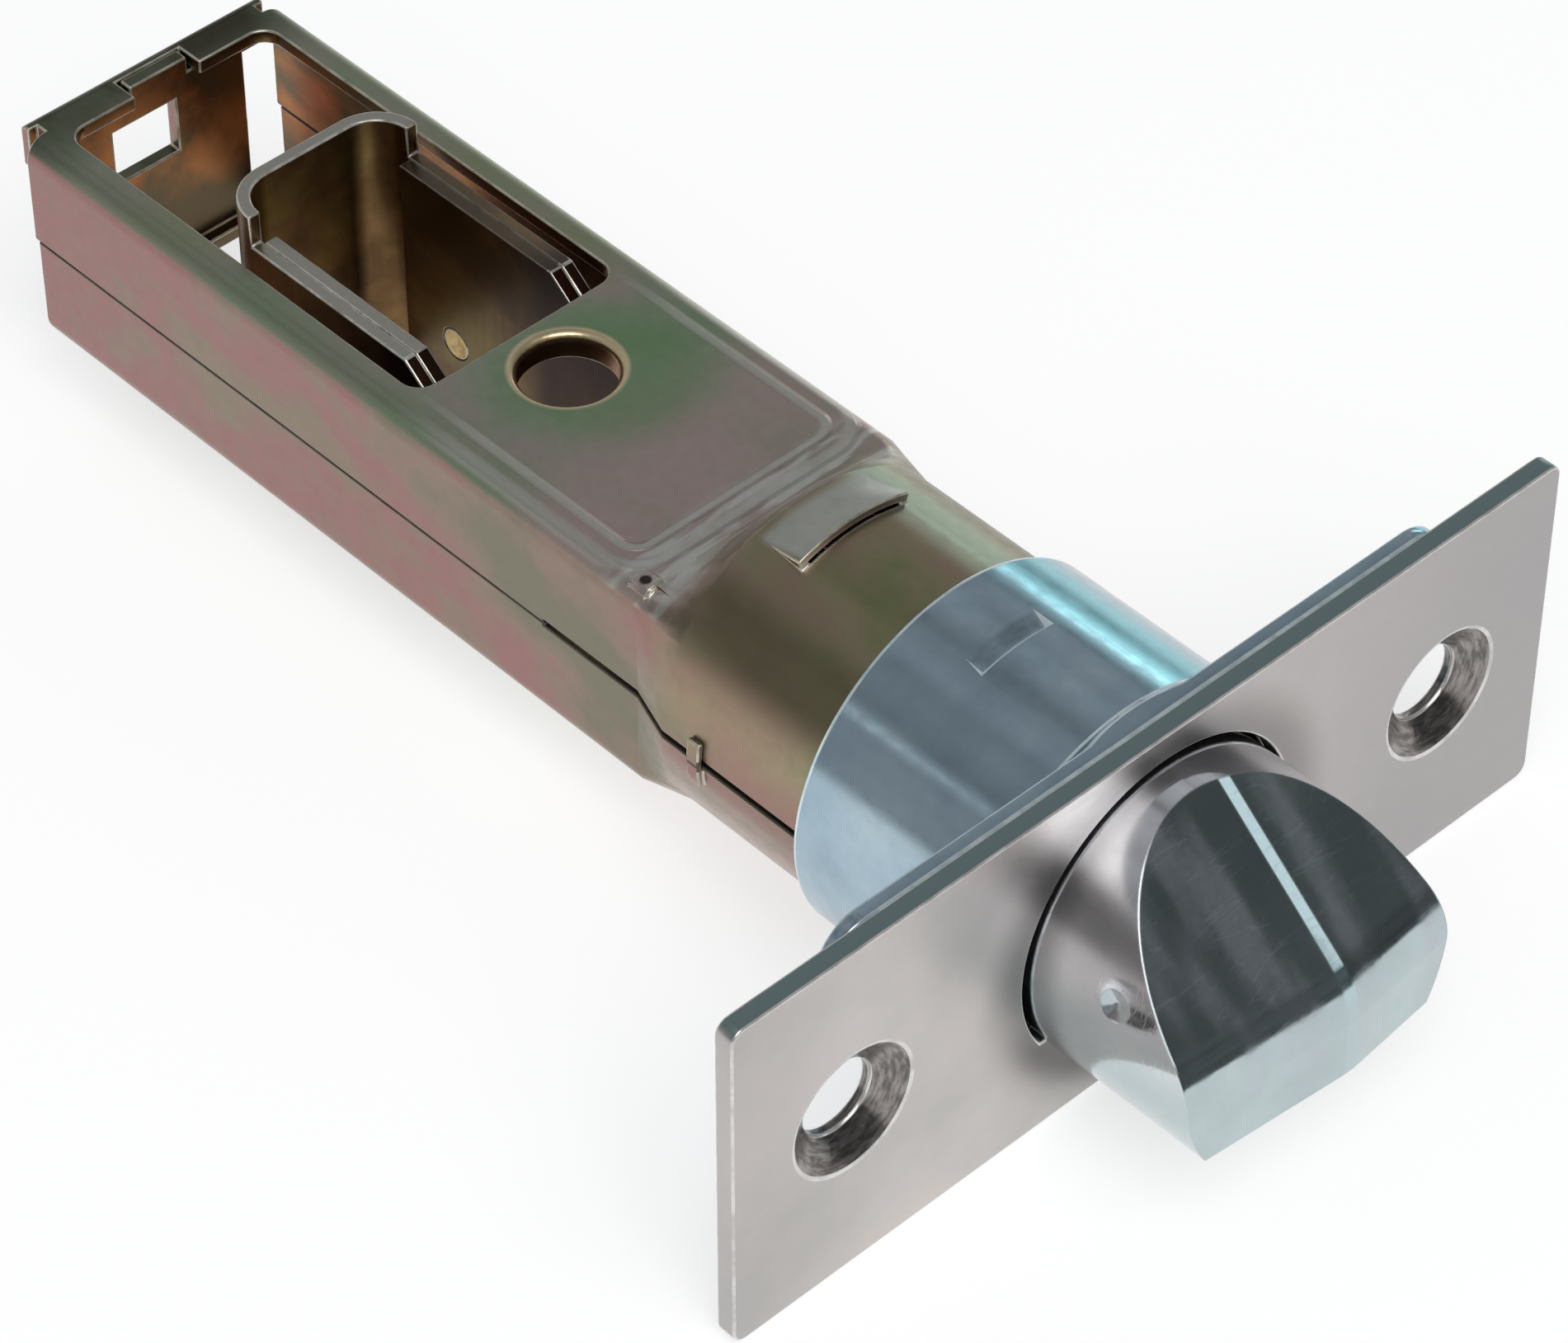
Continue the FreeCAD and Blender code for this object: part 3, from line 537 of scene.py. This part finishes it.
def plated_brass():
    metal = Surface("plated_brass", (0.52, 0.38, 0.16), 0.25)
    cloud = metal.noise(0.8, detail=4.0)
    metal.colour(metal.ramp(cloud, [(0.42, (0.34, 0.22, 0.08)), (0.60, (0.60, 0.45, 0.20))]))
    metal.roughness(metal.scaled(cloud, 0.15, 0.38))
    return metal.material


def plain_steel():
    metal = Surface("plain_steel", (0.52, 0.51, 0.49), 0.3)
    cloud = metal.noise(2.0, detail=4.0)
    turned = metal.noise(0.12, detail=2.0, stretch=(1.0, 8.0, 8.0), shift=3.0)
    metal.colour(metal.ramp(cloud, [(0.3, (0.42, 0.40, 0.38)), (0.7, (0.58, 0.56, 0.53))]))
    metal.roughness(metal.scaled(turned, 0.22, 0.40))
    metal.bump(turned, 0.003, 0.3)
    return metal.material


def spring_steel():
    metal = Surface("spring_steel", (0.42, 0.42, 0.43), 0.3)
    cloud = metal.noise(1.5, detail=4.0)
    metal.colour(metal.ramp(cloud, [(0.3, (0.30, 0.30, 0.31)), (0.7, (0.48, 0.47, 0.46))]))
    metal.roughness(metal.scaled(cloud, 0.22, 0.42))
    return metal.material


def worn_edge(name, low, high, roughness, seam=0.0, far_leg_shade=0.0):
    """Bare metal for broken edges, with painted shade at the shells' seam and painted shade on the far leg
    of the yoke.
    """
    metal = Surface(name, high, roughness)
    metal.shader.inputs["Metallic"].default_value = 0.6
    rub = metal.noise(1.4, detail=4.0, rough=0.65)
    coats = []
    if far_leg_shade:
        # Painted shade on the yoke's far leg
        far_leg = metal.times(yoke_far_leg(metal), metal.below(metal.x, YOKE_LEG_FRONT))
        coats.append((metal.times(far_leg, far_leg_shade), (0.10, 0.075, 0.05)))
    # Painted shade along the shells' seam
    if seam:
        at_seam = metal.fall(metal.away(metal.z), 0.3, 0.4)
        coats.append((metal.times(at_seam, seam), (0.06, 0.045, 0.035)))
    metal.colour(metal.layers(metal.ramp(rub, [(0.36, low), (0.58, high)]), *coats))
    return metal.material


YELLOW = yellow_zinc()
STEEL = plain_steel()
NICKEL_EDGE = worn_edge("nickel_edge", (0.56, 0.54, 0.53), (0.76, 0.74, 0.72), 0.25)
ZINC_EDGE = worn_edge("zinc_edge", (0.58, 0.70, 0.75), (0.76, 0.88, 0.91), 0.18)
YELLOW_EDGE = worn_edge("yellow_edge", (0.34, 0.32, 0.24), (0.60, 0.58, 0.48), 0.25, seam=0.9)
YOKE_EDGE = worn_edge("yoke_edge", (0.40, 0.37, 0.31), (0.74, 0.72, 0.66), 0.22, far_leg_shade=0.8)
STEEL_EDGE = worn_edge("steel_edge", (0.45, 0.44, 0.42), (0.70, 0.69, 0.67), 0.25)

# Edges that turn by more than this many degrees are broken
SHARP = 28.0
SHELL_SHARP = 60.0

# Main material, edge material, width of the broken edges in millimetres and their angle
FINISH = {
    "faceplate": (satin_nickel(), NICKEL_EDGE, 0.12, SHARP),
    "front_collar": (blue_zinc(), ZINC_EDGE, 0.14, SHARP),
    "upper_case_shell": (YELLOW, YELLOW_EDGE, 0.12, SHELL_SHARP),
    "lower_case_shell": (YELLOW, YELLOW_EDGE, 0.12, SHELL_SHARP),
    "spring_stop_plate": (STEEL, STEEL_EDGE, 0.08, SHARP),
    "bolt_stem": (STEEL, STEEL_EDGE, 0.1, SHARP),
    # The drawbar is a darker copy of the yoke's zinc, dimmed as painted shade
    "drawbar": (yoke_zinc("drawbar_zinc_shaded", 0.55), YOKE_EDGE, 0.08, SHARP),
    "retractor_yoke": (yoke_zinc("yoke_zinc", 1.0), YOKE_EDGE, 0.12, SHARP),
    "yoke_rivets": (plated_brass(), YELLOW_EDGE, 0.1, SHARP),
}


def paint(node, *materials):
    """Gives a solid its materials and returns its object."""
    obj = NODES[node]
    obj.data.materials.clear()
    for material in materials:
        obj.data.materials.append(material)
    return obj


def break_edges(obj, width_mm, limit_deg):
    """Rounds the edges sharper than the limit and gives them the second material."""
    weld = obj.modifiers.new("weld", "WELD")
    weld.merge_threshold = 0.0005 * MM
    join = obj.modifiers.new("join_flats", "DECIMATE")
    join.decimate_type = "DISSOLVE"
    join.angle_limit = math.radians(0.5)
    bevel = obj.modifiers.new("broken_edges", "BEVEL")
    bevel.limit_method = "ANGLE"
    bevel.angle_limit = math.radians(limit_deg)
    bevel.width = width_mm * MM
    bevel.segments = 2
    bevel.use_clamp_overlap = False
    bevel.material = 1
    even = obj.modifiers.new("even_shading", "WEIGHTED_NORMAL")
    even.mode = "FACE_AREA_WITH_ANGLE"
    even.weight = 80


for node, (main, edge, width_mm, limit_deg) in FINISH.items():
    break_edges(paint(node, main, edge), width_mm, limit_deg)

# The bolt's edges are rounded in its material
paint("latch_bolt", chrome_bolt())


def coil_spring():
    """Round wire wound at the fitted length, with capped ends."""
    start_x, end_x = -2.0, -20.0
    coil_radius, wire_radius = 4.2, 0.5
    turns, stations_per_turn, sides = 7, 28, 10
    stations = turns * stations_per_turn
    points = []
    for station in range(stations + 1):
        share = station / stations
        turn = 2.0 * math.pi * turns * share
        x = start_x + (end_x - start_x) * share
        for side in range(sides):
            angle = 2.0 * math.pi * side / sides
            reach = coil_radius + wire_radius * math.sin(angle)
            along = x + wire_radius * math.cos(angle)
            points.append((along * MM, reach * math.sin(turn) * MM, reach * math.cos(turn) * MM))
    faces = []
    for station in range(stations):
        here = station * sides
        after = here + sides
        for side in range(sides):
            other = (side + 1) % sides
            faces.append((here + side, here + other, after + other, after + side))
    faces.append(tuple(reversed(range(sides))))
    faces.append(tuple(range(stations * sides, (stations + 1) * sides)))
    mesh = bpy.data.meshes.new("coil_spring")
    mesh.from_pydata(points, [], faces)
    mesh.shade_smooth()
    mesh.materials.append(spring_steel())
    piece = bpy.data.objects.new("coil_spring", mesh)
    bpy.context.scene.collection.objects.link(piece)
    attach(piece, "case")
    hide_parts("bolt_spring")
    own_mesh(piece)


coil_spring()


def floor():
    """Pale sheet of paper that glows a little, just under the part."""
    reach, gap_mm = 6.0, 0.2
    low = CAD_BOX[0][2] - gap_mm * MM
    corners = [(-reach, -reach, low), (reach, -reach, low), (reach, reach, low), (-reach, reach, low)]
    mesh = bpy.data.meshes.new("floor")
    mesh.from_pydata(corners, [], [(0, 1, 2, 3)])
    paper = bpy.data.materials.new("paper")
    paper.use_nodes = True
    shader = paper.node_tree.nodes["Principled BSDF"]
    shader.inputs["Base Color"].default_value = (0.60, 0.60, 0.60, 1.0)
    shader.inputs["Roughness"].default_value = 0.9
    shader.inputs["Specular IOR Level"].default_value = 0.1
    shader.inputs["Emission Color"].default_value = (1.0, 1.0, 1.0, 1.0)
    shader.inputs["Emission Strength"].default_value = 0.63
    mesh.materials.append(paper)
    piece = bpy.data.objects.new("floor", mesh)
    bpy.context.scene.collection.objects.link(piece)


floor()


def camera():
    """Stands where the photograph was taken from, as solved from the part's straight edges."""
    place_mm = Vector((138.65, -154.70, 215.48))
    right = Vector((0.6857, 0.7278, 0.0)).normalized()
    forward = Vector((-0.5222, 0.4919, -0.6966)).normalized()
    up = right.cross(forward)
    data = bpy.data.cameras.new("camera")
    data.sensor_width = 36.0
    data.lens = 139.06
    data.clip_start = 0.01
    data.clip_end = 20.0
    piece = bpy.data.objects.new("camera", data)
    turn = Matrix((right, up, -forward)).transposed().to_4x4()
    piece.matrix_world = Matrix.Translation(place_mm * MM) @ turn
    bpy.context.scene.collection.objects.link(piece)
    bpy.context.scene.camera = piece


camera()


def lamp(name, direction, distance, size, radiance, across=(-0.7, 0.7, 0.0)):
    """Soft rectangular light that faces the part from a direction, its width lying across."""
    data = bpy.data.lights.new(name, "AREA")
    data.shape = "RECTANGLE"
    data.size, data.size_y = size
    data.energy = math.pi * size[0] * size[1] * radiance
    piece = bpy.data.objects.new(name, data)
    away = Vector(direction).normalized()
    side = Vector(across)
    side = (side - away * side.dot(away)).normalized()
    turn = Matrix((side, away.cross(side), away)).transposed().to_4x4()
    piece.matrix_world = Matrix.Translation(away * distance) @ turn
    bpy.context.scene.collection.objects.link(piece)


lamp("key", (0.50, -0.30, 0.82), 1.2, (1.0, 1.0), 2.6)
lamp("right", (-0.45, 0.86, 0.24), 1.0, (0.10, 0.30), 2.2)
lamp("spot", (-0.52, -0.67, 0.51), 1.0, (0.05, 0.05), 2.5)
lamp("ridge", (0.640, 0.531, 0.552), 1.0, (0.075, 0.30), 1.0, (-0.35, 0.84, -0.41))


def world():
    """Dim clouded room over the pale floor, lighter behind the case than in front of the bolt."""
    studio = bpy.data.worlds.new("studio")
    bpy.context.scene.world = studio
    studio.use_nodes = True
    nodes = studio.node_tree.nodes
    links = studio.node_tree.links
    background = nodes["Background"]
    direction = nodes.new("ShaderNodeTexCoord").outputs["Generated"]

    split = nodes.new("ShaderNodeSeparateXYZ")
    links.new(direction, split.inputs[0])
    forward = nodes.new("ShaderNodeMapRange")
    forward.inputs["From Min"].default_value = -1.0
    links.new(split.outputs["X"], forward.inputs["Value"])
    ramp = nodes.new("ShaderNodeValToRGB")
    behind, ahead = ramp.color_ramp.elements
    behind.position = 0.15
    behind.color = (0.36, 0.37, 0.38, 1.0)
    ahead.position = 0.80
    ahead.color = (0.10, 0.105, 0.11, 1.0)
    links.new(forward.outputs["Result"], ramp.inputs["Fac"])
    links.new(ramp.outputs["Color"], background.inputs["Color"])

    cloud = nodes.new("ShaderNodeTexNoise")
    cloud.inputs["Scale"].default_value = 4.0
    cloud.inputs["Detail"].default_value = 3.0
    links.new(direction, cloud.inputs["Vector"])
    level = nodes.new("ShaderNodeMapRange")
    level.inputs["From Min"].default_value = 0.35
    level.inputs["From Max"].default_value = 0.65
    level.inputs["To Min"].default_value = 0.6
    level.inputs["To Max"].default_value = 1.4
    links.new(cloud.outputs["Fac"], level.inputs["Value"])
    links.new(level.outputs["Result"], background.inputs["Strength"])


world()
bpy.context.scene.view_settings.view_transform = "Standard"
